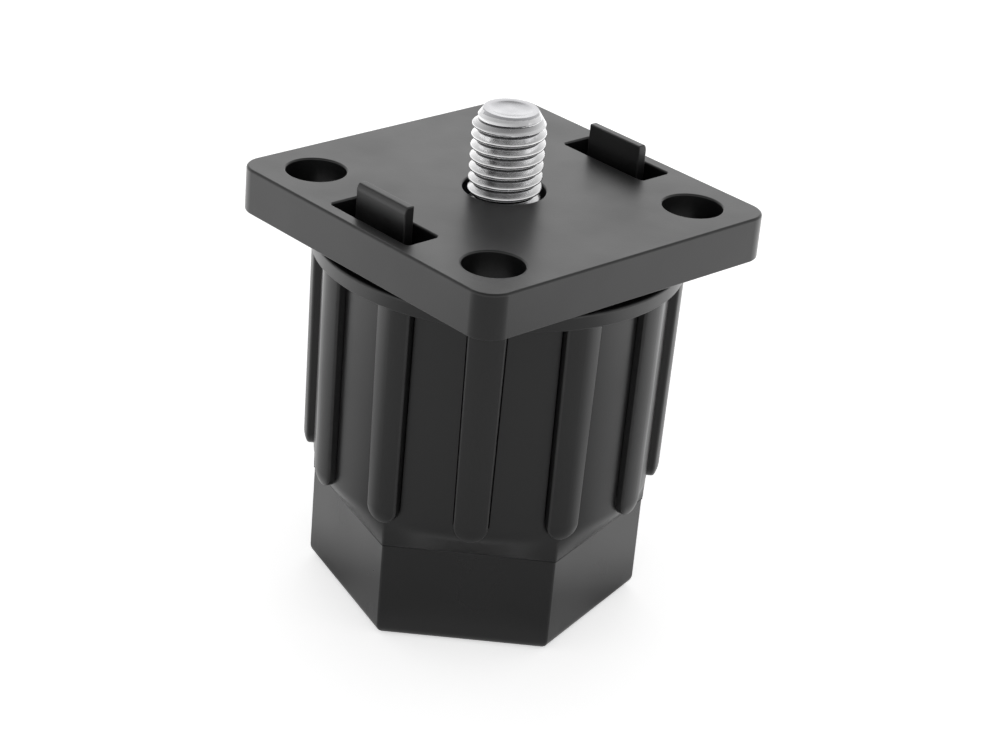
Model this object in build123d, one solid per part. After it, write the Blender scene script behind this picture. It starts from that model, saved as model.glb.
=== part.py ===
from build123d import *
import os
from math import cos, radians, sin, tan

os.makedirs("parts", exist_ok=True)

# Adjustable cabinet leg, millimetres, +Z up. The origin is under the middle of the foot.
# The foot stands on the floor, and the square plate above it carries the cabinet.

# M10 thread and its standard fasteners
THREAD_D = 10.0
THREAD_PITCH = 1.5
HEX_FLATS = 16.0
NUT_HEIGHT = 8.4
HEX_CHAMFER_ANGLE = 30.0
HEAD_HEIGHT = 6.4
SCREW_LENGTH = 25.0
SCREW_TIP_CHAMFER = 1.4
SCREW_TIP_LENGTH = 2.2
WASHER_BORE_D = 10.5
WASHER_D = 20.0
WASHER_THICKNESS = 2.0
THREAD_CLEARANCE = 0.05
HEX_CLEARANCE = 0.10

# Adjustment: whole turns of the thread from fully closed
ADJUST_TURNS = 8

# Mounting plate, moulded
PLATE_SIDE = 50.0
PLATE_CORNER_R = 3.5
PLATE_DEPTH = 6.2
PLATE_TOP_WALL = 2.6
PLATE_SKIRT_WALL = 2.0
PLATE_EDGE_R = 0.35
SCREW_HOLE_D = 8.0
SCREW_HOLE_SPACING = 35.0
HOLE_BOSS_WALL = 1.6
CENTRE_HOLE_D = 11.0
SLOT_LENGTH = 15.3
SLOT_WIDTH = 5.1
SLOT_TO_EDGE = 2.0
SOCKET_WALL = 1.8
SOCKET_LIP = 0.4
PLATE_RIB_THICKNESS = 1.6
PLATE_RIB_DEPTH = 3.0

# Spring tongues that stand up through the plate's slots
TONGUE_WIDTH = 9.2
TONGUE_THICKNESS = 1.45
TONGUE_RISE = 3.5
TONGUE_GAP = 1.8
TONGUE_ROOT_DEPTH = 1.4
TONGUE_LEAD_IN = 0.5
TONGUE_LEAD_IN_HEIGHT = 1.0

# Leg body, moulded
PLATE_GAP = 0.8
LEG_HEIGHT = 51.0
COLLAR_INSET = 0.15
COLLAR_DEPTH = 2.1
COLLAR_EDGE_R = 0.4
BARREL_TAPER = 0.25
RIB_COUNT = 12
RIB_PROUD = 1.6
RIB_TAPER = 0.35
RIB_TOP_WIDTH = 5.0
RIB_LOW_WIDTH = 4.5
RIB_FACE_R = 4.3
RIB_END_Z = 17.9
RIB_TURN = 45.0
HEX_TOP_Z = 13.2
FOOT_CORNER_INSET = 0.2
HEX_FOOT_EDGE_R = 1.2
BLEND_HEIGHT = 4.6
LEG_WALL = 2.3
FLOOR_THICKNESS = 3.0
FOOT_RECESS_R = 14.0
FOOT_RECESS_DEPTH = 0.8
CUP_WALL = 1.8
CUP_FLOOR = 3.6
POST_R = 4.5
WEB_COUNT = 4
WEB_THICKNESS = 2.2
HEAD_SINK = 0.2
WASHER_GAP = 0.3

# Heights, from the foot up
PLATE_LOW_Z = LEG_HEIGHT + PLATE_GAP
PLATE_TOP_Z = PLATE_LOW_Z + PLATE_DEPTH
WALL_LOW_Z = PLATE_TOP_Z - PLATE_TOP_WALL
NUT_LOW_Z = WALL_LOW_Z - NUT_HEIGHT
SOCKET_LOW_Z = NUT_LOW_Z - SOCKET_LIP
WASHER_TOP_Z = SOCKET_LOW_Z - WASHER_GAP
CUP_TOP_Z = WASHER_TOP_Z - WASHER_THICKNESS
HEAD_TOP_Z = CUP_TOP_Z - HEAD_SINK
HEAD_LOW_Z = HEAD_TOP_Z - HEAD_HEIGHT
CUP_LOW_Z = HEAD_LOW_Z - CUP_FLOOR
COLLAR_LOW_Z = LEG_HEIGHT - COLLAR_DEPTH
BLEND_TOP_Z = HEX_TOP_Z + BLEND_HEIGHT

# Radii that follow from the sizes above
COS_30 = cos(radians(30))
HEX_CORNER_R = HEX_FLATS / 2 / COS_30
POCKET_FLATS = HEX_FLATS + 2 * HEX_CLEARANCE
POCKET_CORNER_R = POCKET_FLATS / 2 / COS_30
SOCKET_R = POCKET_CORNER_R + SOCKET_WALL
CUP_R = POCKET_CORNER_R + CUP_WALL
COLLAR_R = PLATE_SIDE / 2 - COLLAR_INSET
BARREL_TOP_R = COLLAR_R - RIB_PROUD
BARREL_LOW_R = BARREL_TOP_R - BARREL_TAPER
RIB_LOW_R = COLLAR_R - RIB_TAPER
FOOT_CORNER_R = BARREL_LOW_R - FOOT_CORNER_INSET
CAVITY_R = BARREL_LOW_R - LEG_WALL
FOOT_CAVITY_R = FOOT_CORNER_R * COS_30 - LEG_WALL
FOOT_TURN = RIB_TURN + 30.0
OUTSIDE_R = COLLAR_R + 1.0


def cylinder(radius, low, high, x=0.0, y=0.0):
    """An upright cylinder between two heights."""
    return Pos(x, y, low) * Cylinder(radius, high - low, align=(Align.CENTER, Align.CENTER, Align.MIN))


def block(x_low, x_high, y_low, y_high, low, high):
    """A box between its two corners."""
    size = (x_high - x_low, y_high - y_low, high - low)
    return Pos(x_low, y_low, low) * Box(*size, align=(Align.MIN, Align.MIN, Align.MIN))


def cone(low_r, high_r, low, high):
    """An upright cone frustum between two heights."""
    return Pos(0, 0, low) * Cone(low_r, high_r, high - low, align=(Align.CENTER, Align.CENTER, Align.MIN))


def hexagon(corner_r, low, high, turn=0.0):
    """An upright hexagonal prism with a corner on the direction turn, in degrees."""
    sketch = RegularPolygon(corner_r, 6, rotation=turn)
    return Pos(0, 0, low) * extrude(sketch, high - low)


def screw_hole_centres():
    """The centres of the plate's four screw holes."""
    half = SCREW_HOLE_SPACING / 2
    return [(sx * half, sy * half) for sx in (-1, 1) for sy in (-1, 1)]


def edges_at(solid, height, tolerance=0.01):
    """The edges that lie wholly at one height."""
    return solid.edges().filter_by_position(Axis.Z, height - tolerance, height + tolerance)


def make_tongue():
    """The spring tongue on the +X side: it is rooted on the skirt's lower edge and rises through the slot."""
    skirt_x = PLATE_SIDE / 2 - PLATE_SKIRT_WALL
    outer_x = skirt_x - TONGUE_GAP
    inner_x = outer_x - TONGUE_THICKNESS
    top_z = PLATE_TOP_Z + TONGUE_RISE
    profile = Polyline(
        (inner_x, PLATE_LOW_Z),
        (skirt_x + PLATE_SKIRT_WALL / 2, PLATE_LOW_Z),
        (skirt_x + PLATE_SKIRT_WALL / 2, PLATE_LOW_Z + TONGUE_ROOT_DEPTH),
        (outer_x, PLATE_LOW_Z + TONGUE_ROOT_DEPTH),
        (outer_x, top_z - TONGUE_LEAD_IN_HEIGHT),
        (outer_x - TONGUE_LEAD_IN, top_z),
        (inner_x, top_z),
        close=True,
    )
    face = Plane.XZ * make_face(profile)
    return Pos(0, TONGUE_WIDTH / 2, 0) * extrude(face, TONGUE_WIDTH)


def make_mounting_plate():
    """The square moulded plate: top wall, skirt, screw bosses, nut socket, ribs and spring tongues."""
    outline = RectangleRounded(PLATE_SIDE, PLATE_SIDE, PLATE_CORNER_R)
    plate = Pos(0, 0, PLATE_LOW_Z) * extrude(outline, PLATE_DEPTH)
    plate = fillet(edges_at(plate, PLATE_TOP_Z), PLATE_EDGE_R)
    inside = PLATE_SIDE - 2 * PLATE_SKIRT_WALL
    hollow = RectangleRounded(inside, inside, PLATE_CORNER_R - PLATE_SKIRT_WALL)
    plate -= Pos(0, 0, PLATE_LOW_Z) * extrude(hollow, WALL_LOW_Z - PLATE_LOW_Z)

    boss_r = SCREW_HOLE_D / 2 + HOLE_BOSS_WALL
    edge = PLATE_SIDE / 2 - PLATE_SKIRT_WALL / 2
    limit = block(-edge, edge, -edge, edge, PLATE_LOW_Z, WALL_LOW_Z)
    for x, y in screw_hole_centres():
        plate += cylinder(boss_r, PLATE_LOW_Z, WALL_LOW_Z, x, y) & limit
    plate += cylinder(SOCKET_R, SOCKET_LOW_Z, WALL_LOW_Z)

    # Ribs run from the nut socket to the screw bosses, and to the two sides without a tongue.
    rib_low = WALL_LOW_Z - PLATE_RIB_DEPTH
    half = PLATE_RIB_THICKNESS / 2
    diagonal = SCREW_HOLE_SPACING / 2 * 2 ** 0.5
    for angle in (45, 135, 225, 315):
        plate += Rot(0, 0, angle) * block(SOCKET_R - 1, diagonal, -half, half, rib_low, WALL_LOW_Z)
    for angle in (90, 270):
        plate += Rot(0, 0, angle) * block(SOCKET_R - 1, edge, -half, half, rib_low, WALL_LOW_Z)

    tongue = make_tongue()
    for angle in (0, 180):
        slot_x = PLATE_SIDE / 2 - SLOT_TO_EDGE - SLOT_WIDTH
        slot = block(slot_x, slot_x + SLOT_WIDTH, -SLOT_LENGTH / 2, SLOT_LENGTH / 2, WALL_LOW_Z, PLATE_TOP_Z)
        plate -= Rot(0, 0, angle) * slot
        plate += Rot(0, 0, angle) * tongue

    for x, y in screw_hole_centres():
        plate -= cylinder(SCREW_HOLE_D / 2, PLATE_LOW_Z, PLATE_TOP_Z, x, y)
    plate -= cylinder(CENTRE_HOLE_D / 2, NUT_LOW_Z, PLATE_TOP_Z)
    plate -= hexagon(POCKET_CORNER_R, SOCKET_LOW_Z, WALL_LOW_Z)
    return plate


def chamfered_hexagon(low, high, both_ends):
    """A hexagonal prism of standard flats with its corners turned off at 30 degrees, below or at both ends."""
    prism = hexagon(HEX_CORNER_R, low, high)
    flats_r = HEX_FLATS / 2
    reach = HEX_CORNER_R + 1
    rise = (reach - flats_r) * tan(radians(HEX_CHAMFER_ANGLE))
    turned = cone(flats_r, reach, low, low + rise)
    if both_ends:
        turned += cylinder(reach, low + rise, high - rise)
        turned += cone(reach, flats_r, high - rise, high)
    else:
        turned += cylinder(reach, low + rise, high)
    return prism & turned


def make_hex_nut():
    """The M10 nut, held in the plate's socket with its top face under the plate's wall."""
    nut = chamfered_hexagon(NUT_LOW_Z, WALL_LOW_Z, both_ends=True)
    return nut - cylinder(THREAD_D / 2 + THREAD_CLEARANCE, NUT_LOW_Z, WALL_LOW_Z)


def make_leg_screw():
    """The M10 hexagon-head screw, head down in the leg's cup. Its thread is left to the finished look."""
    tip_z = HEAD_TOP_Z + SCREW_LENGTH
    screw = chamfered_hexagon(HEAD_LOW_Z, HEAD_TOP_Z, both_ends=False)
    screw += cylinder(THREAD_D / 2, HEAD_TOP_Z, tip_z - SCREW_TIP_LENGTH)
    screw += cone(THREAD_D / 2, THREAD_D / 2 - SCREW_TIP_CHAMFER, tip_z - SCREW_TIP_LENGTH, tip_z)
    return screw


def make_thrust_washer():
    """The plain washer that lies on the leg's cup, around the screw."""
    washer = cylinder(WASHER_D / 2, CUP_TOP_Z, WASHER_TOP_Z)
    return washer - cylinder(WASHER_BORE_D / 2, CUP_TOP_Z, WASHER_TOP_Z)


def make_foot_blend():
    """The stretch where the round barrel turns into the hexagonal foot: each arc runs straight to a flat."""
    low, high = [], []
    corners = [radians(FOOT_TURN + 60 * i) for i in range(6)]
    for start, end in zip(corners, corners[1:] + corners[:1]):
        middle = start + radians(30)
        a = (BARREL_LOW_R * cos(start), BARREL_LOW_R * sin(start))
        m = (BARREL_LOW_R * cos(middle), BARREL_LOW_R * sin(middle))
        b = (BARREL_LOW_R * cos(end), BARREL_LOW_R * sin(end))
        high.append(ThreePointArc(a, m, b))
        c = (FOOT_CORNER_R * cos(start), FOOT_CORNER_R * sin(start))
        d = (FOOT_CORNER_R * cos(end), FOOT_CORNER_R * sin(end))
        low.append(Line(c, d))
    low_face = Pos(0, 0, HEX_TOP_Z) * make_face(low)
    high_face = Pos(0, 0, BLEND_TOP_Z) * make_face(high)
    return loft([low_face, high_face], ruled=True)


def make_rib():
    """One grip rib on the +X side: it narrows downwards, ends in a half round, and its face is a leaning arc."""
    end_r = RIB_LOW_WIDTH / 2
    centre_z = RIB_END_Z + end_r
    outline = Polyline(
        (-end_r, centre_z),
        (end_r, centre_z),
        (RIB_TOP_WIDTH / 2, COLLAR_LOW_Z),
        (-RIB_TOP_WIDTH / 2, COLLAR_LOW_Z),
        close=True,
    )
    sketch = make_face(outline) + Pos(0, centre_z, 0) * Circle(end_r)
    inner_r = BARREL_LOW_R - LEG_WALL / 2
    prism = extrude(Plane.YZ.offset(inner_r) * sketch, OUTSIDE_R - inner_r)
    start = Vector(RIB_LOW_R - RIB_FACE_R, 0, RIB_END_Z)
    lean = Vector(COLLAR_R - RIB_FACE_R, 0, COLLAR_LOW_Z) - start
    face_round = extrude(Pos(*start) * Circle(RIB_FACE_R), amount=lean.length, dir=lean)
    return prism & face_round


def make_hollow(top):
    """The leg's hollow up to a height. It follows the outside at one wall: narrow in the hexagon, wide above."""
    hollow = cylinder(FOOT_CAVITY_R, FLOOR_THICKNESS, HEX_TOP_Z)
    hollow += cone(FOOT_CAVITY_R, CAVITY_R, HEX_TOP_Z, BLEND_TOP_Z)
    return hollow + cylinder(CAVITY_R, BLEND_TOP_Z, top)


def make_leg_body():
    """The leg's outside: collar, ribbed barrel and hexagonal foot, with the hollow inside."""
    leg = hexagon(FOOT_CORNER_R, 0, HEX_TOP_Z, FOOT_TURN)
    leg = fillet(edges_at(leg, 0), HEX_FOOT_EDGE_R)
    leg += make_foot_blend()
    leg += cone(BARREL_LOW_R, BARREL_TOP_R, BLEND_TOP_Z, COLLAR_LOW_Z)
    collar = cylinder(COLLAR_R, COLLAR_LOW_Z, LEG_HEIGHT)
    leg += fillet(edges_at(collar, LEG_HEIGHT), COLLAR_EDGE_R)

    rib = make_rib()
    for i in range(RIB_COUNT):
        leg += Rot(0, 0, RIB_TURN + i * 360 / RIB_COUNT) * rib

    leg -= make_hollow(LEG_HEIGHT)
    leg -= cylinder(FOOT_RECESS_R, 0, FOOT_RECESS_DEPTH)
    return leg


def make_leg_core():
    """The inside of the same moulding: the cup for the screw's head, its post, and webs out to the wall."""
    webs = Part()
    half = WEB_THICKNESS / 2
    for i in range(WEB_COUNT):
        web = block(0, OUTSIDE_R, -half, half, FLOOR_THICKNESS, CUP_LOW_Z)
        webs += Rot(0, 0, 45 + i * 360 / WEB_COUNT) * web
    core = webs & make_hollow(CUP_LOW_Z)
    core += cylinder(POST_R, FLOOR_THICKNESS, CUP_LOW_Z)
    core += cylinder(CUP_R, CUP_LOW_Z, CUP_TOP_Z)
    core -= hexagon(POCKET_CORNER_R, HEAD_LOW_Z, CUP_TOP_Z)
    return core


PARTS = {
    "mounting_plate": make_mounting_plate,
    "hex_nut": make_hex_nut,
    "thrust_washer": make_thrust_washer,
    "leg_screw": make_leg_screw,
    "leg_body": make_leg_body,
    "leg_core": make_leg_core,
}

for name, make in PARTS.items():
    part = make()
    part.label = name
    export_step(part, f"parts/{name}.step")

print(f"plate top {PLATE_TOP_Z:.2f}, screw tip {HEAD_TOP_Z + SCREW_LENGTH:.2f}")
print(f"travel {ADJUST_TURNS * THREAD_PITCH:.2f} in {ADJUST_TURNS} turns of {THREAD_PITCH} pitch")
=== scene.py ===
"""Adjustable cabinet leg: the finished look of its moulded plate, ribbed leg and threaded screw."""

import logging
import math
from dataclasses import dataclass, field, replace
from enum import Enum
from typing import ClassVar, Iterable

import bmesh
import bpy
from bmesh.types import BMEdge, BMesh, BMVert
from bpy.types import ID, Material, NodeSocket, NodeTree, Object, ShaderNode
from mathutils import Matrix, Vector


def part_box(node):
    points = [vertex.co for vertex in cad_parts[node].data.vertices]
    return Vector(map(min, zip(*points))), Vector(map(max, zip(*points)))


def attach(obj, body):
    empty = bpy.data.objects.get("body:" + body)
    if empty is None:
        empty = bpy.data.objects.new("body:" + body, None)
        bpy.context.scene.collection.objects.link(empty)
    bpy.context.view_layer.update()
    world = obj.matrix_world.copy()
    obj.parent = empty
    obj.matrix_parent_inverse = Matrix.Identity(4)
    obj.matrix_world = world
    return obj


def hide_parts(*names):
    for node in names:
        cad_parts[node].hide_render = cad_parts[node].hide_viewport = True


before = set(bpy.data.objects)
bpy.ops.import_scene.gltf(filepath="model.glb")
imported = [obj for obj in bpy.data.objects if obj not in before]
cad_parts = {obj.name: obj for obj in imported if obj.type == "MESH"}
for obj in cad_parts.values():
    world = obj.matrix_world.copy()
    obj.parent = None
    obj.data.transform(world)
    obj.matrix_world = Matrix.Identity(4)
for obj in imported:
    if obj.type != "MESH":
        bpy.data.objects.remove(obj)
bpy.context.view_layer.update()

# All sizes below are in millimetres in the part's own frame; meshes are scaled to metres when they are finished.
MM = 0.001
COS_30 = math.cos(math.radians(30))

# The layers that mark faces: edges painted paler as wear and a painted highlight, the screw's cut end, and the
# bottom of its thread, which gets painted shade.
RUBBED_AND_HIGHLIT, CUT, ROOT_PAINTED_SHADE = "rubbed_and_highlit", "cut", "root"

# The largest radius and the least bend of an edge that is painted paler, partly as wear from handling and partly as
# a painted highlight, and the values that a noise mostly keeps to.
RUBBED_HIGHLIGHT_ROUND = 1.4
RUBBED_HIGHLIGHT_BEND = math.radians(6)
NOISE_SPREAD = (0.3, 0.7)

# The corner radius of the pockets that hold the nut and the screw's head, and the direction that one flat faces.
POCKET_ROUND = 0.3
POCKET_FACING = math.radians(30)

log = logging.getLogger("cabinet_leg")

Pair = tuple[float, float]
Value = NodeSocket | float | tuple[float, ...]


class Node(Enum):
    """The nodes of the construction that pieces stand for or dress."""

    PLATE = "mounting_plate"
    NUT = "hex_nut"
    WASHER = "thrust_washer"
    SCREW = "leg_screw"
    LEG = "leg_body"
    CORE = "leg_core"

    @property
    def low(self) -> Vector:
        """The corner of its box with the least coordinates, in millimetres."""
        return Vector(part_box(self.value)[0]) / MM

    @property
    def high(self) -> Vector:
        """The corner of its box with the greatest coordinates, in millimetres."""
        return Vector(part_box(self.value)[1]) / MM


class Body(Enum):
    """The bodies that pieces ride on."""

    LEG = "leg"
    WASHER = "washer"
    HEAD = "head"


class Slot(Enum):
    """Names for the pieces' material slots."""

    PLATE = "plate_plastic"
    LEG = "leg_plastic"
    STEEL = "zinc_steel"


def steps_of(points: list[Pair]) -> list[Pair]:
    """The steps from each point to the next."""
    return [(b[0] - a[0], b[1] - a[1]) for a, b in zip(points, points[1:])]


def arc(centre: Pair, radius: float, start: float, segments: int, turn: float = 90.0) -> list[Pair]:
    """Points on an arc.

    Args:
        centre: The arc's centre, as radius and height.
        radius: The arc's radius.
        start: The direction of its first point, in degrees from outwards.
        segments: The number of steps.
        turn: Its angle in degrees, which is negative where it runs clockwise.

    Returns:
        The arc's points.
    """
    angles = [math.radians(start + turn * i / segments) for i in range(segments + 1)]
    return [(centre[0] + radius * math.cos(a), centre[1] + radius * math.sin(a)) for a in angles]


@dataclass(frozen=True)
class Outline:
    """A rounded rectangle seen from above, which is a circle where its half sizes equal its corner radius."""

    half_x: float
    half_y: float
    corner_r: float
    x: float = 0.0
    y: float = 0.0
    segments: int = 96

    def grown(self, by: float) -> "Outline":
        """The same outline, wider all round."""
        return replace(self, half_x=self.half_x + by, half_y=self.half_y + by, corner_r=self.corner_r + by)

    def outward(self, place: Vector) -> Vector:
        """Finds the outward direction.

        Args:
            place: A point on the outline.

        Returns:
            The direction there.
        """
        corner_x = self.x + math.copysign(self.half_x - self.corner_r, place.x - self.x)
        corner_y = self.y + math.copysign(self.half_y - self.corner_r, place.y - self.y)
        return Vector((place.x - corner_x, place.y - corner_y, 0.0)).normalized()


def circle(radius: float, x: float = 0.0, y: float = 0.0) -> Outline:
    """A round outline."""
    return Outline(radius, radius, radius, x, y)


def hexagon_share(angle: float, facing: float, apothem: float, corner_round: float) -> float:
    """How far a hexagon with rounded corners reaches in one direction.

    Args:
        angle: The direction, in radians.
        facing: The direction that one flat faces, in radians.
        apothem: The distance from the middle to a flat.
        corner_round: The radius of the corners.

    Returns:
        The reach as a share of the sharp corner's distance.
    """
    sector = math.radians(60)
    off_flat = (angle - facing + sector / 2) % sector - sector / 2
    off_corner = sector / 2 - abs(off_flat)
    to_round = (apothem - corner_round) / COS_30
    tangent = math.atan2(corner_round / 2, to_round + corner_round * COS_30)
    if off_corner < tangent:
        across = to_round * math.sin(off_corner)
        reach = to_round * math.cos(off_corner) + math.sqrt(corner_round**2 - across**2)
    else:
        reach = apothem / math.cos(off_flat)
    return reach / (apothem / COS_30)


def cut_pocket(verts: Iterable[BMVert], flats: float, inside: float) -> None:
    """Turns the round inner wall of a spun piece into a hexagonal pocket.

    Args:
        verts: The piece's vertices.
        flats: The pocket's size across its flats.
        inside: The radius that the pocket's vertices stay within.
    """
    for vert in verts:
        if 0.1 < vert.co.xy.length < inside:
            angle = math.atan2(vert.co.y, vert.co.x)
            vert.co.xy *= hexagon_share(angle, POCKET_FACING, flats / 2, POCKET_ROUND)


def around(middle: float, swing: float) -> Pair:
    """The range that lies evenly around a value."""
    return middle - swing, middle + swing


def put_round(vert: BMVert, reach: float, angle: float) -> None:
    """Moves a vertex to another radius and direction, at its own height."""
    vert.co.xy = (reach * math.cos(angle), reach * math.sin(angle))


@dataclass(frozen=True)
class Wiring:
    """One node tree, with short ways to add nodes to it and join them."""

    tree: NodeTree

    def join(self, node: ShaderNode, inputs: dict[str | int, Value]) -> ShaderNode:
        """Sets a node's inputs.

        Args:
            node: The node.
            inputs: For each input, the socket that feeds it or the constant that it holds.

        Returns:
            The same node.
        """
        for name, value in inputs.items():
            if isinstance(value, NodeSocket):
                self.tree.links.new(value, node.inputs[name])
            else:
                node.inputs[name].default_value = value
        return node

    def add(self, kind: str, inputs: dict[str | int, Value]) -> ShaderNode:
        """Adds one node and sets its inputs."""
        return self.join(self.tree.nodes.new(kind), inputs)

    def place(self) -> NodeSocket:
        """The place on a piece, in its own frame."""
        return self.add("ShaderNodeTexCoord", {}).outputs["Object"]

    def mark(self, layer: str) -> NodeSocket:
        """Reads how strongly each face is marked.

        Args:
            layer: The layer of the marks.

        Returns:
            The marks' strength.
        """
        node = self.add("ShaderNodeAttribute", {})
        node.attribute_name = layer
        return node.outputs["Fac"]

    def combine(self, operation: str, first: Value, second: Value) -> NodeSocket:
        """Joins two values by arithmetic.

        Args:
            operation: The name of the operation.
            first: The first value.
            second: The second value.

        Returns:
            The result.
        """
        node = self.add("ShaderNodeMath", {0: first, 1: second})
        node.operation = operation
        return node.outputs["Value"]

    def ramp(self, value: NodeSocket, start: Pair, result: Pair, smooth: bool = False) -> NodeSocket:
        """Turns one range of values into another.

        Args:
            value: The value.
            start: The values where the ramp starts and ends.
            result: What it gives there.
            smooth: True where the ramp eases in and out.

        Returns:
            The ramp's result.
        """
        ends = {"From Min": start[0], "From Max": start[1], "To Min": result[0], "To Max": result[1]}
        node = self.add("ShaderNodeMapRange", {"Value": value, **ends})
        if smooth:
            node.interpolation_type = "SMOOTHSTEP"
        return node.outputs["Result"]

    def mix(self, share: NodeSocket, first: Value, second: Value) -> NodeSocket:
        """Blends two colours.

        Args:
            share: The share of the second colour.
            first: The first colour.
            second: The second colour.

        Returns:
            The blended colour.
        """
        node = self.tree.nodes.new("ShaderNodeMix")
        node.data_type = "RGBA"
        return self.join(node, {"Factor": share, "A": first, "B": second}).outputs["Result"]

    def noise(self, size_mm: float, detail: float) -> NodeSocket:
        """A noise pattern on a piece, with the size of one feature and the number of finer octaves."""
        inputs = {"Vector": self.place(), "Scale": 1.0 / (size_mm * MM), "Detail": detail}
        return self.add("ShaderNodeTexNoise", inputs).outputs["Fac"]

    def bump(self, height: NodeSocket, height_mm: float, below: dict[str, NodeSocket]) -> NodeSocket:
        """Turns a value into surface relief.

        Args:
            height: The relief's height, from 0 to 1.
            height_mm: The height of its peaks.
            below: The normal that the relief is added to, if any.

        Returns:
            The new normal.
        """
        inputs = {"Height": height, "Distance": height_mm * MM, **below}
        return self.add("ShaderNodeBump", inputs).outputs["Normal"]


def add_object(name: str, data: ID) -> Object:
    """Adds an object to the scene.

    Args:
        name: The object's name.
        data: What it shows.

    Returns:
        The new object, at the origin.
    """
    made = bpy.data.objects.new(name, data)
    bpy.context.scene.collection.objects.link(made)
    return made


def add_mesh(bm: BMesh, name: str, material: Material) -> Object:
    """Adds a mesh to the scene.

    Args:
        bm: The mesh, which is freed.
        name: The object's name.
        material: Its finish.

    Returns:
        The new object, at the origin.
    """
    mesh = bpy.data.meshes.new(name)
    bm.to_mesh(mesh)
    bm.free()
    mesh.materials.append(material)
    return add_object(name, mesh)


def new_material(name: str) -> tuple[Material, Wiring, ShaderNode]:
    """Starts a material with a principled shader.

    Args:
        name: The material's name.

    Returns:
        The material, its wiring and its shader.
    """
    material = bpy.data.materials.new(name)
    material.use_nodes = True
    tree = material.node_tree
    return material, Wiring(tree), tree.nodes["Principled BSDF"]


def grey(shade: float, blue: float = 1.0) -> tuple[float, ...]:
    """A grey, whose blue share can differ a little."""
    return shade, shade, shade * blue, 1.0


@dataclass(frozen=True)
class MouldedPlastic:
    """Satin black moulded plastic: a fine grain, a soft sheen that varies, and tight edges painted a little paler,
    partly as wear and partly as a painted highlight.
    """

    name: str
    rubbed_highlight_shade: float
    shade: float = 0.004
    roughness: float = 0.33
    roughness_swing: float = 0.035
    smoother_below_mm: float = 0.0
    smoother_over_mm: float = 1.0
    smoother_by: float = 0.08
    speckle_mm: float = 1.32
    grain_mm: float = 0.22
    grain_height_mm: float = 0.006
    flow_mm: float = 9.0
    flow_height_mm: float = 0.012

    def build(self) -> Material:
        """Makes the material.

        Returns:
            The new material.
        """
        material, wiring, shader = new_material(self.name)
        flow = wiring.noise(self.flow_mm, 3.0)
        sheen = wiring.ramp(flow, NOISE_SPREAD, around(self.roughness, self.roughness_swing))
        height = wiring.add("ShaderNodeSeparateXYZ", {"Vector": wiring.place()}).outputs["Z"]
        border = around(self.smoother_below_mm * MM, self.smoother_over_mm / 2 * MM)
        lower = wiring.ramp(height, border, (self.smoother_by, 0.0))
        # Tight edges are painted paler, speckled by a noise: partly wear, partly a painted highlight.
        rubbed_and_highlit = wiring.combine("MULTIPLY", wiring.mark(RUBBED_AND_HIGHLIT), wiring.noise(self.speckle_mm, 4.0))
        grain = wiring.bump(wiring.noise(self.grain_mm, 2.0), self.grain_height_mm, {})
        wiring.join(shader, {
            "Base Color": wiring.mix(rubbed_and_highlit, grey(self.shade, 1.05), grey(self.rubbed_highlight_shade)),
            "Roughness": wiring.combine("SUBTRACT", sheen, lower),
            "Normal": wiring.bump(flow, self.flow_height_mm, {"Normal": grain}),
        })
        return material


@dataclass(frozen=True)
class ZincPlate:
    """Bright zinc plating on steel: a clean metal with faint clouding and fine rolling marks."""

    name: str = "bright_zinc"
    colour: tuple[float, ...] = (0.80, 0.80, 0.805, 1.0)
    clouded: tuple[float, ...] = (0.70, 0.70, 0.705, 1.0)
    roughness: float = 0.24
    roughness_swing: float = 0.04
    cloud_mm: float = 1.1
    mark_mm: float = 0.12
    mark_height_mm: float = 0.0015
    cut_shade: float = 0.40
    root_painted_shade: float = 0.07

    def build(self) -> Material:
        """Makes the material.

        Returns:
            The new material.
        """
        material, wiring, shader = new_material(self.name)
        cloud = wiring.noise(self.cloud_mm, 4.0)
        colour = wiring.mix(cloud, self.colour, self.clouded)
        # The cut end is painted a duller grey, and the bottom of the thread is painted dark as painted shade.
        for layer, shade in ((CUT, self.cut_shade), (ROOT_PAINTED_SHADE, self.root_painted_shade)):
            colour = wiring.mix(wiring.mark(layer), colour, grey(shade, 1.03))
        wiring.join(shader, {
            "Base Color": colour,
            "Metallic": 1.0,
            "Roughness": wiring.ramp(cloud, NOISE_SPREAD, around(self.roughness, self.roughness_swing)),
            "Normal": wiring.bump(wiring.noise(self.mark_mm, 2.0), self.mark_height_mm, {}),
        })
        return material


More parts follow.
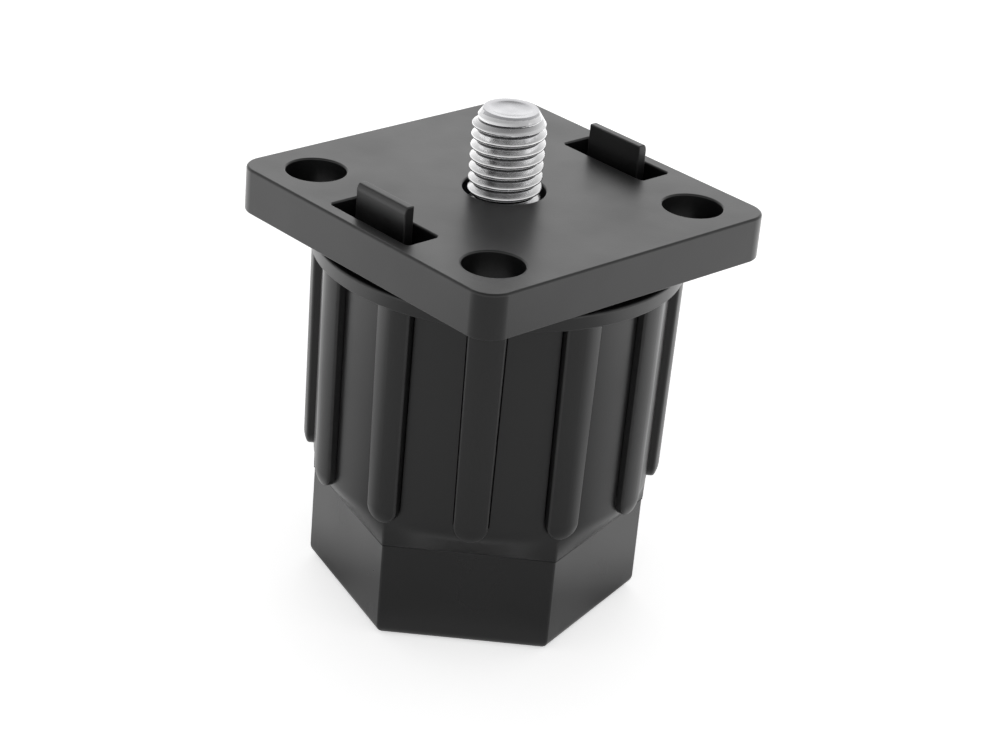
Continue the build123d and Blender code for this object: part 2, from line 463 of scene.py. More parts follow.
@dataclass(frozen=True)
class StudioFloor:
    """A plain pale floor that takes a soft shadow and is lit from below beside and behind the leg."""

    name: str = "studio_floor"
    shade: float = 0.93
    roughness: float = 0.75
    specular: float = 0.2
    seen_glow: float = 0.54
    side_glow: float = 1.05
    near_share: float = 0.47
    near_mm: Pair = (20.0, 34.0)
    far_mm: Pair = (90.0, 125.0)
    glow_turned: Pair = (-0.60, -0.22)
    front_glow: float = 0.09
    front_mm: Pair = (-45.0, -70.0)
    foot_glow: float = 0.2
    foot_mm: Pair = (30.0, 22.0)
    glow_turn: float = -44.26

    def build(self) -> Material:
        """Makes the material: one glow for the camera, and another for what the leg reflects.

        Returns:
            The new material.
        """
        material, wiring, shader = new_material(self.name)
        turn = math.radians(self.glow_turn)
        along = wiring.add("ShaderNodeVectorMath", {0: wiring.place(), 1: (-math.sin(turn), math.cos(turn), 0.0)})
        along.operation = "DOT_PRODUCT"
        length = wiring.add("ShaderNodeVectorMath", {0: wiring.place()})
        length.operation = "LENGTH"
        away, reach = (wiring.combine("DIVIDE", node.outputs["Value"], MM) for node in (along, length))
        turned = wiring.combine("DIVIDE", away, reach)
        camera = wiring.add("ShaderNodeLightPath", {}).outputs["Is Camera Ray"]
        ramps = [
            (turned, self.glow_turned, (0.0, self.side_glow)),
            (reach, self.near_mm, (0.0, self.near_share)),
            (reach, self.far_mm, (0.0, 1.0 - self.near_share)),
            (away, self.front_mm, (0.0, self.front_glow)),
            (reach, self.foot_mm, (0.0, self.foot_glow)),
            (turned, self.glow_turned, (1.0, 0.0)),
            (camera, (0.0, 1.0), (1.0, 0.0)),
            (camera, (0.0, 1.0), (0.0, self.seen_glow)),
        ]
        side, near, far, front, foot, ahead, unseen, seen = (wiring.ramp(*ramp, smooth=True) for ramp in ramps)
        beside = wiring.combine("MULTIPLY", side, wiring.combine("ADD", near, far))
        before = wiring.combine("ADD", front, wiring.combine("MULTIPLY", foot, ahead))
        reflected = wiring.combine("MULTIPLY", wiring.combine("ADD", beside, before), unseen)
        wiring.join(shader, {
            "Base Color": grey(self.shade),
            "Roughness": self.roughness,
            "Specular IOR Level": self.specular,
            "Emission Color": grey(1.0),
            "Emission Strength": wiring.combine("ADD", reflected, seen),
        })
        return material


@dataclass
class SubAssembly:
    """One piece of the leg: its mesh in millimetres, the tools that shape it, and its finish and place."""

    bm: BMesh = field(default_factory=bmesh.new, init=False, repr=False)

    name: ClassVar[str]
    nodes: ClassVar[tuple[Node, ...]]
    body: ClassVar[Body]
    slot: ClassVar[Slot]

    # The angle in degrees past which an edge stays crisp, and whether each flat filled region is shaded on its own.
    sharp: ClassVar[float] = 34.0
    flat_fills: ClassVar[bool] = False

    def model(self) -> None:
        """Shapes the piece's mesh."""
        raise NotImplementedError

    def new_since(self, before: set[BMVert]) -> list[BMVert]:
        """The vertices that weren't there before."""
        return [vert for vert in self.bm.verts if vert not in before]

    def draw(self, outline: Outline, z: float) -> list[BMEdge]:
        """Draws an outline as a closed loop.

        Args:
            outline: The outline.
            z: The loop's height.

        Returns:
            The loop's edges.
        """
        turn = Matrix.Rotation(math.pi / outline.segments, 4, "Z")
        made = bmesh.ops.create_circle(self.bm, segments=outline.segments, radius=outline.corner_r, matrix=turn)
        for vert in made["verts"]:
            vert.co.x += outline.x + math.copysign(outline.half_x - outline.corner_r, vert.co.x)
            vert.co.y += outline.y + math.copysign(outline.half_y - outline.corner_r, vert.co.y)
            vert.co.z = z
        return list({edge for vert in made["verts"] for edge in vert.link_edges})

    def extrude_loop(self, edges: list[BMEdge]) -> tuple[set[BMVert], list[BMEdge]]:
        """Extrudes a loop, with the new one still in the place of the old one.

        Args:
            edges: The loop's edges.

        Returns:
            The new loop's vertices and edges.
        """
        made = bmesh.ops.extrude_edge_only(self.bm, edges=edges)["geom"]
        verts = {item for item in made if isinstance(item, BMVert)}
        return verts, [item for item in made if isinstance(item, BMEdge) and verts.issuperset(item.verts)]

    def sweep(self, outline: Outline, edges: list[BMEdge], steps: Iterable[Pair]) -> list[BMEdge]:
        """Extrudes an outline's loop step by step.

        Args:
            outline: The outline.
            edges: The loop's edges.
            steps: How far each step grows the outline and raises it.

        Returns:
            The edges of the last loop.
        """
        for grow, rise in steps:
            verts, edges = self.extrude_loop(edges)
            for vert in verts:
                vert.co += outline.outward(vert.co) * grow + Vector((0.0, 0.0, rise))
        return edges

    def extrude_slab(self, outline: Iterable[Pair], width: float) -> list[BMVert]:
        """Models a slab from its side view.

        Args:
            outline: The corners of the side view, as X and height.
            width: The slab's size along Y, which has its middle at 0.

        Returns:
            The slab's vertices.
        """
        face = self.bm.faces.new([self.bm.verts.new((x, -width / 2, z)) for x, z in outline])
        made = bmesh.ops.extrude_face_region(self.bm, geom=[face])
        moved = [item for item in made["geom"] if isinstance(item, BMVert)]
        bmesh.ops.translate(self.bm, verts=moved, vec=(0.0, width, 0.0))
        return [*face.verts, *moved]

    def fill(self, loops: Iterable[BMEdge]) -> None:
        """Fills the flat region between loops, leaving the inner loops open."""
        bmesh.ops.triangle_fill(self.bm, use_beauty=True, use_dissolve=False, edges=list(loops))

    def turn(self, verts: Iterable[BMVert], angle: float) -> None:
        """Turns vertices round the upright axis, by an angle in radians."""
        bmesh.ops.rotate(self.bm, verts=list(verts), matrix=Matrix.Rotation(angle, 3, "Z"))

    def repeat(self, verts: list[BMVert], moves: Iterable[Matrix]) -> None:
        """Copies a surface to several places.

        Args:
            verts: The surface's vertices.
            moves: The move of each copy.
        """
        edges = {edge for vert in verts for edge in vert.link_edges}
        faces = {face for vert in verts for face in vert.link_faces}
        for move in moves:
            made = bmesh.ops.duplicate(self.bm, geom=[*verts, *edges, *faces])
            copies = [item for item in made["geom"] if isinstance(item, BMVert)]
            bmesh.ops.transform(self.bm, matrix=move, verts=copies)

    def spin(self, profile: list[Pair], angle: float, steps: int, climb: float) -> None:
        """Turns a profile round the upright axis.

        Args:
            profile: Points of radius and height, from one end of the profile to the other.
            angle: The angle of the turn.
            steps: The number of steps in it.
            climb: The rise at each step.
        """
        verts = [self.bm.verts.new((radius, 0.0, z)) for radius, z in profile]
        edges = [self.bm.edges.new(pair) for pair in zip(verts, verts[1:])]
        bmesh.ops.spin(
            self.bm, geom=verts + edges, cent=(0.0, 0.0, 0.0), axis=(0.0, 0.0, 1.0), dvec=(0.0, 0.0, climb),
            angle=angle, steps=steps, use_merge=False, use_duplicate=False,
        )

    def spin_round(self, profile: list[Pair], segments: int, middle: Pair = (0.0, 0.0)) -> list[BMVert]:
        """Turns a profile once round an upright axis: a quarter is spun, and the rest are copies of it.

        Args:
            profile: Points of radius and height, from one end of the profile to the other.
            segments: The number of steps in the full turn, which four divides.
            middle: The axis's place along X and Y.

        Returns:
            The new surface's vertices, with doubles merged.
        """
        before = set(self.bm.verts)
        self.spin(profile, math.tau / 4, segments // 4, 0.0)
        self.repeat(self.new_since(before), [Matrix.Rotation(math.tau / 4 * i, 4, "Z") for i in (1, 2, 3)])
        bmesh.ops.remove_doubles(self.bm, verts=self.new_since(before), dist=1e-4)
        made = self.new_since(before)
        bmesh.ops.translate(self.bm, verts=made, vec=(*middle, 0.0))
        return made

    def mark_worn_and_highlit_edges(self) -> None:
        """Marks the faces of every tight convex round, which are painted paler: partly wear where handling rubs a
        moulding first, and partly a painted highlight.
        """
        layer = self.bm.faces.layers.float.new(RUBBED_AND_HIGHLIT)
        for face in self.bm.faces:
            area = face.calc_area()
            tight = 0
            for edge in face.edges:
                bend = edge.calc_face_angle_signed() if edge.is_manifold else 0.0
                across = area / max(edge.calc_length(), 1e-6)
                tight += bend > max(RUBBED_HIGHLIGHT_BEND, across / RUBBED_HIGHLIGHT_ROUND)
            face[layer] = float(tight > 1)

    def build(self, material: Material) -> None:
        """Models and dresses the piece, and sets it on its body in the place of its nodes.

        Args:
            material: The piece's finish.
        """
        self.model()
        bmesh.ops.recalc_face_normals(self.bm, faces=self.bm.faces)
        self.mark_worn_and_highlit_edges()
        for face in self.bm.faces:
            face.smooth = True
        limit = math.radians(self.sharp)
        for edge in self.bm.edges:
            border = self.flat_fills and {len(face.verts) for face in edge.link_faces} == {3, 4}
            edge.smooth = not (edge.is_manifold and edge.calc_face_angle() > limit or border)
        bmesh.ops.scale(self.bm, vec=(MM, MM, MM), verts=self.bm.verts)
        piece = add_mesh(self.bm, self.name, material)
        weighted = piece.modifiers.new("even_normals", "WEIGHTED_NORMAL")
        weighted.keep_sharp = True
        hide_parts(*(node.value for node in self.nodes))
        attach(piece, self.body.value)
        log.info("%s: %d faces", self.name, len(piece.data.polygons))


@dataclass
class MountingPlate(SubAssembly):
    """The square moulded plate with its holes, slots, nut socket, ribs and two spring tongues."""

    name = "plate_moulding"
    nodes = (Node.PLATE,)
    body = Body.HEAD
    slot = Slot.PLATE
    flat_fills = True

    depth: float = 6.2
    top_wall: float = 2.6
    skirt_wall: float = 2.0
    corner_r: float = 3.5
    edge_r: float = 0.35
    hole_r: float = 4.0
    hole_spacing: float = 35.0
    hole_edge_r: float = 0.25
    boss_wall: float = 1.6
    centre_hole_r: float = 5.5
    slot_length: float = 15.3
    slot_width: float = 5.1
    slot_to_edge: float = 2.0
    slot_corner_r: float = 0.5
    tongue_width: float = 9.6
    tongue_thickness: float = 1.45
    tongue_rise: float = 3.5
    tongue_gap: float = 1.8
    tongue_root: float = 1.4
    lead_in: float = 0.5
    lead_in_height: float = 1.0
    tip_flat: float = 0.12
    tongue_edge_r: float = 0.16
    tongue_edge_bend: float = 40.0
    socket_r: float = 11.15
    pocket_flats: float = 16.2
    rib_thickness: float = 1.6
    rib_depth: float = 3.0
    seat_gap: float = 0.1

    def __post_init__(self) -> None:
        """Takes the plate's place from the construction."""
        self.half = Node.PLATE.high.x
        self.top = Node.PLATE.high.z - self.tongue_rise
        self.low = self.top - self.depth
        self.wall_low = self.top - self.top_wall
        self.socket_low = Node.PLATE.low.z

    def hole_places(self) -> list[Pair]:
        """The centres of the four screw holes."""
        half = self.hole_spacing / 2
        return [(x, y) for x in (-half, half) for y in (-half, half)]

    def slots(self) -> list[Outline]:
        """Places the two slots.

        Returns:
            Their outlines.
        """
        centre = self.half - self.slot_to_edge - self.slot_width / 2
        size = (self.slot_width / 2, self.slot_length / 2, self.slot_corner_r)
        return [Outline(*size, x=side * centre, segments=32) for side in (-1, 1)]

    def build_shell(self) -> None:
        """Models the top wall and the skirt, with every opening through them."""
        rim, r = self.edge_r, self.hole_edge_r
        outside = Outline(self.half, self.half, self.corner_r)
        outer = self.draw(outside.grown(-rim), self.top)
        openings = [circle(self.hole_r, *place) for place in self.hole_places()]
        openings += [circle(self.centre_hole_r), *self.slots()]
        top_loops, low_loops = list(outer), []
        through = [*steps_of(arc((0.0, 0.0), r, 90, 4)), (0.0, r - self.top_wall)]
        for opening in openings:
            loop = self.draw(opening.grown(r), self.top)
            top_loops += loop
            low_loops += self.sweep(opening, loop, through)
        self.fill(top_loops)

        steps = [
            *steps_of(arc((0.0, 0.0), rim, 90, 5, -90)), (0.0, rim + r - self.depth),
            *steps_of(arc((0.0, 0.0), r, 0, 3, -90)), (r - self.skirt_wall, 0.0), (0.0, self.depth - self.top_wall),
        ]
        low_loops += self.sweep(outside, outer, steps)
        self.fill(low_loops)

    def build_underside(self) -> None:
        """Models the screw bosses, the nut's socket and the stiffening ribs below the top wall."""
        low = self.low + self.seat_gap
        boss_r = self.hole_r + self.boss_wall
        boss = [(self.hole_r, low), (boss_r, low), (boss_r, self.wall_low), (self.hole_r, self.wall_low)]
        for place in self.hole_places():
            self.spin_round([*boss, boss[0]], 64, place)

        pocket = self.pocket_flats / 2 / COS_30
        socket = [
            (pocket, self.socket_low), (self.socket_r, self.socket_low),
            (self.socket_r, self.wall_low), (pocket, self.wall_low),
        ]
        cut_pocket(self.spin_round([*socket, socket[0]], 144), self.pocket_flats, (pocket + self.socket_r) / 2)

        diagonal = self.hole_spacing / 2 * math.sqrt(2) - self.hole_r - self.boss_wall / 2
        edge = self.half - self.skirt_wall / 2
        reaches = [(45 + 90 * i, diagonal) for i in range(4)] + [(90, edge), (270, edge)]
        for turn, reach in reaches:
            length = reach - self.socket_r + self.boss_wall / 2
            centre = Vector((reach - length / 2, 0.0, self.wall_low - self.rib_depth / 2))
            size = Matrix.Diagonal((length, self.rib_thickness, self.rib_depth, 1.0))
            place = Matrix.Rotation(math.radians(turn), 4, "Z") @ Matrix.Translation(centre) @ size
            bmesh.ops.create_cube(self.bm, size=1.0, matrix=place)

    def build_tongue(self, turn: float) -> None:
        """Models one spring tongue, rooted on the skirt and standing up through its slot.

        Args:
            turn: The tongue's direction, in radians from +X.
        """
        inner_skirt = self.half - self.skirt_wall
        rooted = inner_skirt + self.skirt_wall / 2
        outer = inner_skirt - self.tongue_gap
        inner = outer - self.tongue_thickness
        low = self.low + self.seat_gap
        tip = self.top + self.tongue_rise
        lead_in = arc((0.0, 0.0), 1.0, 0, 8, 80)
        section = [
            (inner, low), (rooted, low), (rooted, low + self.tongue_root), (outer, low + self.tongue_root),
            *((outer - self.lead_in * (1 - x), tip - self.lead_in_height * (1 - z)) for x, z in lead_in),
            (outer - self.lead_in - self.tip_flat, tip), (inner, tip),
        ]
        verts = self.extrude_slab(section, self.tongue_width)
        edges = {edge for vert in verts for edge in vert.link_edges}
        rounded = [
            edge
            for edge in edges
            if min(vert.co.z for vert in edge.verts) > self.low
            and edge.is_manifold
            and edge.calc_face_angle() > math.radians(self.tongue_edge_bend)
        ]
        made = bmesh.ops.bevel(
            self.bm, geom=rounded, offset=self.tongue_edge_r, offset_type="OFFSET", affect="EDGES",
            segments=4, profile=0.5, material=-1, clamp_overlap=True,
        )
        self.turn({vert for vert in verts if vert.is_valid} | set(made["verts"]), turn)

    def model(self) -> None:
        """Shapes the plate's mesh."""
        self.build_shell()
        self.build_underside()
        for turn in (0.0, math.pi):
            self.build_tongue(turn)


@dataclass
class LegBody(SubAssembly):
    """The moulded leg: collar, ribbed barrel, hexagonal foot, and the cup, post and webs inside."""

    name = "leg_moulding"
    nodes = (Node.LEG, Node.CORE)
    body = Body.LEG
    slot = Slot.LEG
    sharp = 18.0

    collar_depth: float = 2.1
    collar_edge_r: float = 0.4
    collar_low_r: float = 0.22
    rib_count: int = 12
    rib_proud: float = 1.6
    rib_taper: float = 0.35
    rib_top_width: float = 5.0
    rib_low_width: float = 4.5
    rib_face_r: float = 4.3
    rib_edge_r: float = 0.45
    rib_middle: float = math.degrees(0.002)
    rib_end: float = 17.9
    rib_sink: float = 0.02
    rib_root: float = 2.4
    crease_depth: float = 0.25
    crease_out: float = 0.02
    crease_width: float = 0.12
    crease_above_round: float = 1.9
    crease_fade: float = 2.2
    barrel_taper: float = 0.25
    blend_height: float = 5.2
    blend_straight: float = 0.6
    hex_top: float = 13.9
    hex_rows: tuple[float, ...] = (4.0, 8.0, 13.3, 13.8, 13.9)
    hex_inset: float = 0.2
    hex_round: float = 0.4
    hex_crowding: float = 0.12
    lip_out: float = 0.14
    lip_r: float = 0.3
    foot_edge_r: float = 1.6
    facing: float = 45.0
    wall: float = 2.3
    floor: float = 3.0
    recess_r: float = 14.0
    recess_depth: float = 0.8
    cup_r: float = 11.15
    cup_low: float = 34.1
    cup_top: float = 44.3
    cup_floor: float = 3.6
    cup_edge: float = 0.2
    overlap: float = 0.1
    pocket_flats: float = 16.2
    post_r: float = 4.5
    web_thickness: float = 2.2
    turns: int = 720

    def __post_init__(self) -> None:
        """Takes the leg's outer sizes from the construction."""
        self.collar_r = Node.LEG.high.x
        self.height = Node.LEG.high.z
        self.collar_low = self.height - self.collar_depth
        self.barrel_top_r = self.collar_r - self.rib_proud
        self.barrel_low_r = self.barrel_top_r - self.barrel_taper
        self.hex_corner_r = self.barrel_low_r - self.hex_inset
        self.apothem = self.hex_corner_r * COS_30
        self.blend_top = self.hex_top + self.blend_height
        self.crease_end = self.rib_end + self.rib_low_width / 2 + self.crease_above_round
        self.cavity_r = self.barrel_low_r - self.wall
        self.foot_cavity_r = self.apothem - self.wall

    def profile(self) -> list[Pair]:
        """The body's section from the middle of its underside, over the collar, to the middle of its floor.

        Returns:
            Points of radius and height. In the foot a radius is that of the hexagon's sharp corner.
        """
        soft, steps = 0.25, 14
        under, over = self.collar_low_r, self.collar_edge_r
        foot = arc((0.0, self.foot_edge_r), self.foot_edge_r, 270, 8)
        lean = self.barrel_taper / (self.collar_low - self.blend_top)
        creased = (self.crease_end - self.crease_fade, self.crease_end)
        return [
            (0.0, self.recess_depth), (self.recess_r - soft, self.recess_depth),
            (self.recess_r, self.recess_depth - soft), (self.recess_r, soft), (self.recess_r + soft, 0.0),
            *((self.hex_corner_r - (self.foot_edge_r - radius) / COS_30, z) for radius, z in foot),
            *((self.hex_corner_r, z) for z in self.hex_rows),
            *((self.hex_corner_r + self.lip_out, self.hex_top + self.lip_r * i / 4) for i in range(5)),
            *((self.hex_corner_r, self.hex_top + self.blend_height * i / steps) for i in range(2, steps)),
            (self.barrel_low_r, self.blend_top),
            *((self.barrel_low_r + lean * (z - self.blend_top), z) for z in creased),
            (self.barrel_top_r - soft / 40, self.collar_low - soft), (self.barrel_top_r, self.collar_low),
            *arc((self.collar_r - under, self.collar_low + under), under, 270, 6),
            *arc((self.collar_r - over, self.height - over), over, 0, 6),
            *arc((self.cavity_r + over, self.height - over), over, 90, 6),
            (self.cavity_r, self.blend_top), (self.foot_cavity_r, self.hex_top),
            (self.foot_cavity_r, self.floor + soft), (self.foot_cavity_r - soft, self.floor), (0.0, self.floor),
        ]

    def shape_foot(self, verts: Iterable[BMVert]) -> None:
        """Turns the round lower end into the hexagon, and the stretch above it into the blend.

        Args:
            verts: The spun body's vertices.
        """
        facing = math.radians(self.facing)
        lip_reach = self.hex_corner_r + self.lip_out
        for vert in verts:
            reach = vert.co.xy.length
            if vert.co.z > self.blend_top - 1e-6 or reach < self.foot_cavity_r + 0.3:
                continue
            up = max(0.0, (vert.co.z - self.hex_top) / self.blend_height)
            angle = math.atan2(vert.co.y, vert.co.x)
            angle += self.hex_crowding * (1 - up) * math.sin(6 * (angle - facing))
            share = hexagon_share(angle, facing, self.apothem, self.hex_round)
            lip = 0.0
            if up > 0:
                reach = lip_reach
                rounded = max(0.0, self.lip_r - (vert.co.z - self.hex_top))
                lip = self.lip_r - math.sqrt(self.lip_r**2 - rounded**2)
            ease = self.ease(up)
            round_reach = lip_reach + (self.barrel_low_r - lip_reach) * up
            put_round(vert, reach * share * (1 - ease) + round_reach * ease - lip, angle)

    def crease_beside_ribs(self, verts: Iterable[BMVert]) -> None:
        """Sinks a hair-fine crease into the barrel along both sides of every rib.

        Args:
            verts: The spun body's vertices.
        """
        between = math.tau / self.rib_count
        step = math.tau / self.turns
        middle = (self.rib_low_width + self.rib_top_width) / 4 + self.crease_out
        column = round(middle / self.barrel_top_r / step) * step
        faded = self.crease_end - self.crease_fade - 0.1
        for vert in verts:
            reach = vert.co.xy.length
            if not faded < vert.co.z < self.collar_low - 0.1 or reach < self.cavity_r + 0.5:
                continue
            angle = math.atan2(vert.co.y, vert.co.x)
            off = (angle - math.radians(self.facing) + between / 2) % between - between / 2
            beyond = abs(off) - column
            if not -step / 4 < beyond < step * 1.25:
                continue
            share = (vert.co.z - self.rib_end) / (self.height - self.rib_end)
            half = (self.rib_low_width + (self.rib_top_width - self.rib_low_width) * share) / 2
            wanted, depth = half + self.crease_out, 0.0
            if beyond > step / 2:
                wanted += self.crease_width
            elif vert.co.z > self.crease_end - 0.1:
                depth = self.crease_depth
            angle += math.copysign(wanted / reach, off) - off
            put_round(vert, reach - depth, angle)

    def ease(self, up: float) -> float:
        """How far the blend has turned from hexagon to circle: straight at first, then rounded into the barrel.

        Args:
            up: The height in the blend, from 0 to 1.

        Returns:
            The share of the circle, from 0 to 1.
        """
        slope = 2 / (1 + self.blend_straight)
        left = 1 - up
        if left > 1 - self.blend_straight:
            return slope * up
        return 1 - slope * left**2 / (2 * (1 - self.blend_straight))

    def build_ribs(self) -> None:
        """Models one grip rib, laid flat and then stood up against the barrel, and copies it round."""
        before = set(self.bm.verts)
        half = self.rib_low_width / 2
        length = self.height - self.collar_edge_r - self.rib_end
        shape = Outline(half, length / 2, half, segments=64)
        base = self.draw(shape, -self.rib_root)
        self.fill(base)
        face_r, edge_r = self.rib_face_r, self.rib_edge_r
        tilt = math.asin((half - edge_r) / (face_r - edge_r))
        edge = (half - edge_r, (face_r - edge_r) * math.cos(tilt) - face_r)
        tilt = math.degrees(tilt)
        section = [(half, -self.rib_root), *arc(edge, edge_r, 0, 5, 90 - tilt)]
        section += arc((0.0, -face_r), face_r, 90 - tilt - self.rib_middle, 8, tilt)[1:]
        self.fill(self.sweep(shape, base, steps_of(section)))

        made = self.new_since(before)
        widen = self.rib_top_width / self.rib_low_width - 1
        for vert in made:
            up = vert.co.y + length / 2
            z = self.rib_end + up
            lean = self.rib_taper * (self.collar_low - z) / (self.collar_low - self.rib_end)
            across = vert.co.x * (1 + widen * max(0.0, up - half) / length)
            vert.co = Vector((self.collar_r - self.rib_sink - lean + vert.co.z, across, z))
        self.turn(made, math.radians(self.facing))
        turns = [math.tau * i / self.rib_count for i in range(1, self.rib_count)]
        self.repeat(made, [Matrix.Rotation(turn, 4, "Z") for turn in turns])

    def build_inside(self) -> None:
        """Models the cup for the screw's head, the post below it and the crossed webs."""
        pocket = self.pocket_flats / 2 / COS_30
        seat = self.cup_low + self.cup_floor
        cup = [
            (0.0, self.cup_low), (self.cup_r, self.cup_low), (self.cup_r, self.cup_top - self.cup_edge),
            (self.cup_r - self.cup_edge, self.cup_top), (pocket, self.cup_top), (pocket, seat), (0.0, seat),
        ]
        cut_pocket(self.spin_round(cup, 144), self.pocket_flats, (pocket + self.cup_r) / 2)
        low, high = self.floor - self.overlap, self.cup_low + self.overlap
        self.spin_round([(0.0, low), (self.post_r, low), (self.post_r, high), (0.0, high)], 64)
        into = self.wall / 2
        side = [
            (self.foot_cavity_r + into, low), (self.foot_cavity_r + into, self.hex_top),
            (self.cavity_r + into, self.blend_top), (self.cavity_r + into, self.cup_low),
        ]
        outline = side + [(-x, z) for x, z in reversed(side)]
        for turn in (45, 135):
            self.turn(self.extrude_slab(outline, self.web_thickness), math.radians(turn))

    def model(self) -> None:
        """Shapes the leg's mesh."""
        self.build_ribs()
        self.build_inside()
        shell = self.spin_round(self.profile(), self.turns)
        self.crease_beside_ribs(shell)
        self.shape_foot(shell)


@dataclass
class LegScrew(SubAssembly):
    """The M10 screw with its rolled thread, its hexagon head hidden in the leg's cup."""

    name = "threaded_screw"
    nodes = (Node.SCREW,)
    body = Body.LEG
    slot = Slot.STEEL
    sharp = 40.0

    pitch: float = 1.5
    crest_r: float = 4.9
    root_r: float = 4.08
    crest_round: float = 0.26
    root_round: float = 0.2
    root_painted_shade_band: float = 0.05
    end_depth: float = 0.3
    chamfer_from: float = 0.72
    chamfer_share: float = 0.4
    shank_r: float = 5.0
    head_flats: float = 16.0
    head_height: float = 6.4
    head_round: float = 0.2
    head_bevel: Pair = (0.3, 0.75)
    tip_length: float = 2.2
    tip_chamfer: float = 1.4
    end_rings: tuple[Pair, ...] = ((3.0, 0.0), (2.65, -0.06), (2.2, -0.2), (0.8, -0.2))
    thread_sink: float = 0.4
    turn_steps: int = 80
    thread_turn: float = 88.0

    def __post_init__(self) -> None:
        """Takes the screw's place from the construction."""
        self.tip = Node.SCREW.high.z
        self.head_low = Node.SCREW.low.z
        self.head_top = self.head_low + self.head_height

    def thread_section(self) -> list[Pair]:
        """One pitch of the thread, from root to root.

        Returns:
            Points of radius and height.
        """
        half = arc((self.root_r + self.root_round, 0.0), self.root_round, 180, 4, -60)
        half += arc((self.crest_r - self.crest_round, self.pitch / 2), self.crest_round, -60, 4, 60)
        return half + [(radius, self.pitch - z) for radius, z in reversed(half[:-1])]

    def build_thread(self) -> None:
        """Winds the thread up the shank, cuts its end to a chamfer and closes it with a dished face."""
        turns = math.ceil((self.tip - self.head_top) / self.pitch) + 2
        start = self.head_top - self.pitch * 1.5
        profile = [(radius, start + z) for radius, z in self.thread_section()]
        self.spin(profile, math.tau, self.turn_steps, self.pitch / self.turn_steps)
        self.repeat(list(self.bm.verts), [Matrix.Translation((0.0, 0.0, self.pitch * i)) for i in range(1, turns)])
        bmesh.ops.remove_doubles(self.bm, verts=self.bm.verts, dist=1e-3)
        self.turn(self.bm.verts, math.radians(self.thread_turn))
        slope = self.tip_chamfer / self.tip_length
        for vert in self.bm.verts:
            reach = vert.co.xy.length
            allowed = self.shank_r - slope * max(0.0, vert.co.z - self.tip + self.tip_length)
            if reach > allowed:
                vert.co.xy *= allowed / reach
        self.close_end(self.tip, 1.0, self.end_rings)
        self.close_end(self.head_top - self.thread_sink, -1.0, [(self.root_r / 2, 0.0)])

    def mark_dull_and_shaded_faces(self) -> None:
        """Marks the cut end and its chamfer, where the plating is duller, and the bottom of the groove, which is
        painted dark as painted shade.
        """
        cut, root = (self.bm.faces.layers.float.new(layer) for layer in (CUT, ROOT_PAINTED_SHADE))
        for face in self.bm.faces:
            middle = face.calc_center_median()
            if middle.z > self.tip - self.end_depth:
                face[cut] = 1.0
            elif middle.z > self.tip - self.tip_length and middle.xy.length > self.shank_r * self.chamfer_from:
                face[cut] = self.chamfer_share
            # Faces near the bottom of the groove get painted shade.
            if self.head_top < middle.z < self.tip - self.tip_length / 2:
                face[root] = float(middle.xy.length < self.root_r + self.root_painted_shade_band)

    def close_end(self, height: float, side: float, rings: Iterable[Pair]) -> None:
        """Cuts the thread off square and closes the cut with rings round the axis.

        Args:
            height: The height of the cut.
            side: 1 where the part above the cut goes, -1 where the part below it goes.
            rings: The radius of each ring and its height over the cut, from the outside in.
        """
        geom = [*self.bm.verts, *self.bm.edges, *self.bm.faces]
        cut = bmesh.ops.bisect_plane(
            self.bm, geom=geom, dist=1e-5, plane_co=(0.0, 0.0, height), plane_no=(0.0, 0.0, side), clear_outer=True
        )
        rim = [item for item in cut["geom_cut"] if isinstance(item, BMEdge)]
        for radius, rise in rings:
            verts, rim = self.extrude_loop(rim)
            for vert in verts:
                reach = vert.co.xy.length
                vert.co = Vector((vert.co.x * radius / reach, vert.co.y * radius / reach, height + rise))
        bmesh.ops.edgeloop_fill(self.bm, edges=rim)

    def build_head(self) -> None:
        """Models the hexagon head with its turned-off corners."""
        corner = self.head_flats / 2 / COS_30
        profile = [
            (0.0, self.head_low), (self.head_flats / 2 - self.head_bevel[0], self.head_low),
            (corner, self.head_low + self.head_bevel[1]), (corner, self.head_top), (0.0, self.head_top),
        ]
        for vert in self.spin_round(profile, 144):
            reach = vert.co.xy.length
            if reach > self.shank_r:
                angle = math.atan2(vert.co.y, vert.co.x)
                share = hexagon_share(angle, POCKET_FACING, self.head_flats / 2, self.head_round)
                vert.co.xy *= min(reach, corner * share) / reach

    def model(self) -> None:
        """Shapes the screw's mesh."""
        self.build_thread()
        self.build_head()
        self.mark_dull_and_shaded_faces()


def dress_node(node: Node, material: Material) -> None:
    """Gives a node of the construction its finish.

    Args:
        node: The node.
        material: The finish, for every material slot that it has.
    """
    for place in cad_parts[node.value].material_slots:
        place.material = material
    log.info("%s: dressed with %s", node.value, material.name)


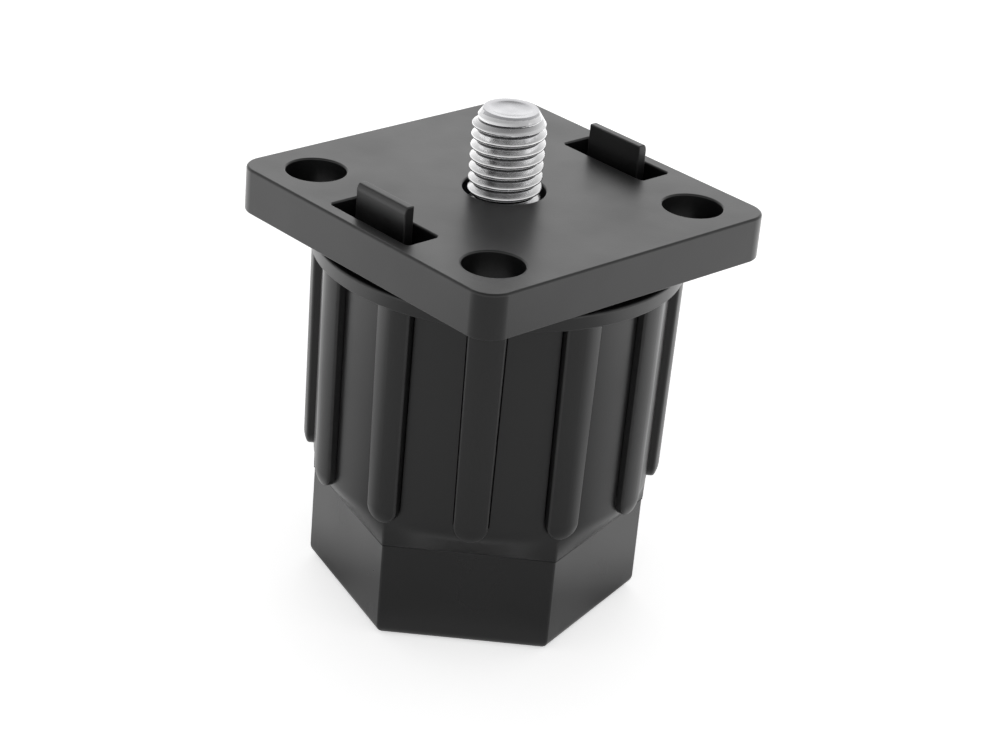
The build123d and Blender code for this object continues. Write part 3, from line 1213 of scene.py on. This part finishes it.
@dataclass
class Studio:
    """The pale floor, the soft light and the camera at the photograph's angle."""

    floor_radius: float = 6000.0
    floor_drop: float = 0.03
    sky_low: float = 0.2
    sky_strength: float = 1.15
    overhead_strength: float = 0.25
    light_mm: tuple[float, float, float] = (420.0, 435.0, 330.0)
    light_size: Pair = (520.0, 380.0)
    light_power: float = 0.44
    aim_height: float = 35.0
    camera_mm: tuple[float, float, float] = (-215.07, -223.10, 184.34)
    azimuth: float = -44.26
    elevation: float = 26.37
    roll: float = 5.22
    lens: float = 91.8

    def build_floor(self) -> None:
        """Lays the floor under the foot."""
        bm = bmesh.new()
        below = Matrix.Translation((0.0, 0.0, -self.floor_drop * MM))
        bmesh.ops.create_circle(bm, cap_ends=True, segments=128, radius=self.floor_radius * MM, matrix=below)
        floor = add_mesh(bm, "floor", StudioFloor().build())

    def build_sky(self) -> None:
        """Sets a pale surrounding light that is brightest at the horizon and dimmer overhead."""
        world = bpy.data.worlds.new("studio_air")
        world.use_nodes = True
        wiring = Wiring(world.node_tree)
        way = wiring.add("ShaderNodeTexCoord", {}).outputs["Generated"]
        height = wiring.add("ShaderNodeSeparateXYZ", {"Vector": way}).outputs["Z"]
        strength = wiring.ramp(height, (self.sky_low, 1.0), (self.sky_strength, self.overhead_strength))
        wiring.join(world.node_tree.nodes["Background"], {"Color": grey(1.0), "Strength": strength})
        bpy.context.scene.world = world

    def build_light(self) -> None:
        """Hangs a softbox behind the leg, beyond the far corner of the plate, and turns it towards the leg."""
        data = bpy.data.lights.new("light_behind", "AREA")
        data.shape = "RECTANGLE"
        data.size, data.size_y = (side * MM for side in self.light_size)
        data.energy = self.light_power
        light = add_object("light_behind", data)
        light.location = Vector(self.light_mm) * MM
        light.rotation_mode = "QUATERNION"
        aim = Vector((0.0, 0.0, self.aim_height * MM)) - light.location
        light.rotation_quaternion = aim.to_track_quat("-Z", "Y")

    def build_camera(self) -> None:
        """Sets the camera where the photograph was taken from."""
        a, e, r = (math.radians(value) for value in (self.azimuth, self.elevation, self.roll))
        back = Vector((math.sin(a) * math.cos(e), -math.cos(a) * math.cos(e), math.sin(e)))
        level = Vector((math.cos(a), math.sin(a), 0.0))
        rise = back.cross(level)
        right = level * math.cos(r) + rise * math.sin(r)
        up = rise * math.cos(r) - level * math.sin(r)
        data = bpy.data.cameras.new("photo_view")
        data.lens = self.lens
        data.clip_start, data.clip_end = 0.01, 20.0
        camera = add_object("photo_view", data)
        turn = Matrix((right, up, back)).transposed().to_4x4()
        camera.matrix_world = Matrix.Translation(Vector(self.camera_mm) * MM) @ turn
        bpy.context.scene.camera = camera

    def build(self) -> None:
        """Sets up the whole studio."""
        self.build_floor()
        self.build_sky()
        self.build_light()
        self.build_camera()
        bpy.context.scene.view_settings.view_transform = "Standard"
        log.info("studio: floor, lights and camera set")


def main() -> None:
    """Builds the whole leg and its studio."""
    logging.basicConfig(level=logging.INFO, format="%(name)s %(message)s")
    zinc = ZincPlate().build()
    MountingPlate().build(MouldedPlastic("plate_black", rubbed_highlight_shade=0.018).build())
    LegBody().build(MouldedPlastic("leg_black", rubbed_highlight_shade=0.02, smoother_below_mm=LegBody.hex_top).build())
    LegScrew().build(zinc)
    dress_node(Node.NUT, zinc)
    dress_node(Node.WASHER, zinc)
    Studio().build()


if __name__ == "__main__":
    main()
